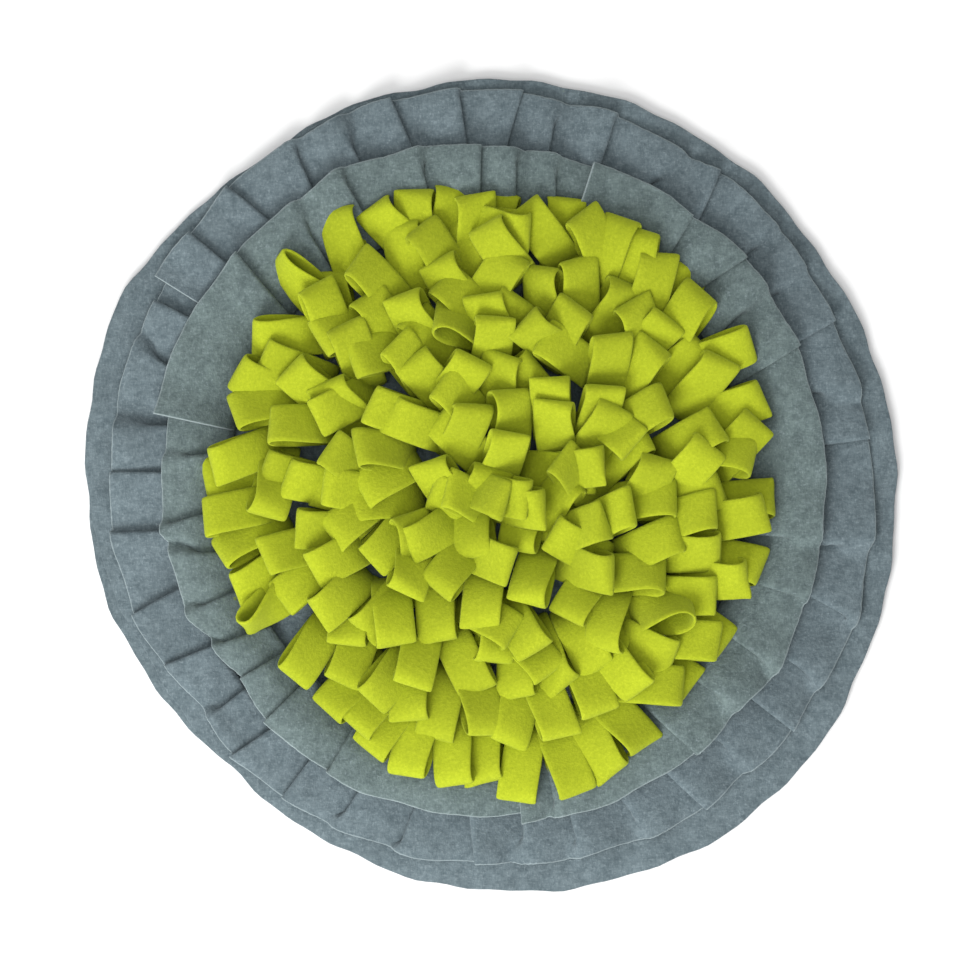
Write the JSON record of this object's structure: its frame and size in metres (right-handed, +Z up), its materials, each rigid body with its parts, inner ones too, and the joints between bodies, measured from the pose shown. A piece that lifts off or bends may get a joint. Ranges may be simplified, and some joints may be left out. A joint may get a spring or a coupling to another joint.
{
  "type": "snuffle mat",
  "caption": "Round snuffle mat for a dog: lime fleece strips folded into loops and sewn down in rounds on a grey-blue fleece base with two pleated frills.",
  "frame": {"origin": "centre of the outline on the surface that the mat lies on", "axes": "+Z up from the surface; +Y away from the reader and +X to the right, as the mat is seen from above"},
  "size_m": [0.4966, 0.498, 0.0519],
  "materials": {
    "lime_fleece": "brushed polyester fleece, matt",
    "grey_fleece": "melange felted fleece, matt",
    "grey_green_fleece": "melange felted fleece, slightly greener, matt"
  },
  "bodies": {
    "root": {"base_lower": "grey_fleece", "base_upper": "grey_fleece", "outer_frill": "grey_fleece", "inner_frill_right": "grey_green_fleece", "inner_frill_top": "grey_green_fleece", "inner_frill_left": "grey_green_fleece", "strips_row1_arc1": "lime_fleece", "strips_row1_arc2": "lime_fleece", "strips_row1_arc3": "lime_fleece", "strips_row1_arc4": "lime_fleece", "strips_row2_arc1": "lime_fleece", "strips_row2_arc2": "lime_fleece", "strips_row2_arc3": "lime_fleece", "strips_row2_arc4": "lime_fleece", "strips_row3_arc1": "lime_fleece", "open_strip_row3_1": "lime_fleece", "strips_row3_arc2": "lime_fleece", "open_strip_row3_2": "lime_fleece", "strips_row3_arc3": "lime_fleece", "open_strip_row3_3": "lime_fleece", "strips_row3_arc4": "lime_fleece", "open_strip_row3_4": "lime_fleece", "strips_row4_arc1": "lime_fleece", "open_strip_row4_1": "lime_fleece", "strips_row4_arc2": "lime_fleece", "open_strip_row4_2": "lime_fleece", "strips_row4_arc3": "lime_fleece", "open_strip_row4_3": "lime_fleece", "strips_row4_arc4": "lime_fleece", "open_strip_row4_4": "lime_fleece", "strips_row5_arc1": "lime_fleece", "strips_row5_arc2": "lime_fleece", "strips_row6_arc1": "lime_fleece", "open_strip_row6_1": "lime_fleece", "strips_row6_arc2": "lime_fleece", "open_strip_row6_2": "lime_fleece", "strips_row6_arc3": "lime_fleece", "open_strip_row6_3": "lime_fleece", "strips_row6_arc4": "lime_fleece", "open_strip_row6_4": "lime_fleece", "strips_row7": "lime_fleece", "strips_row8": "lime_fleece"}
  },
  "joints": []
}
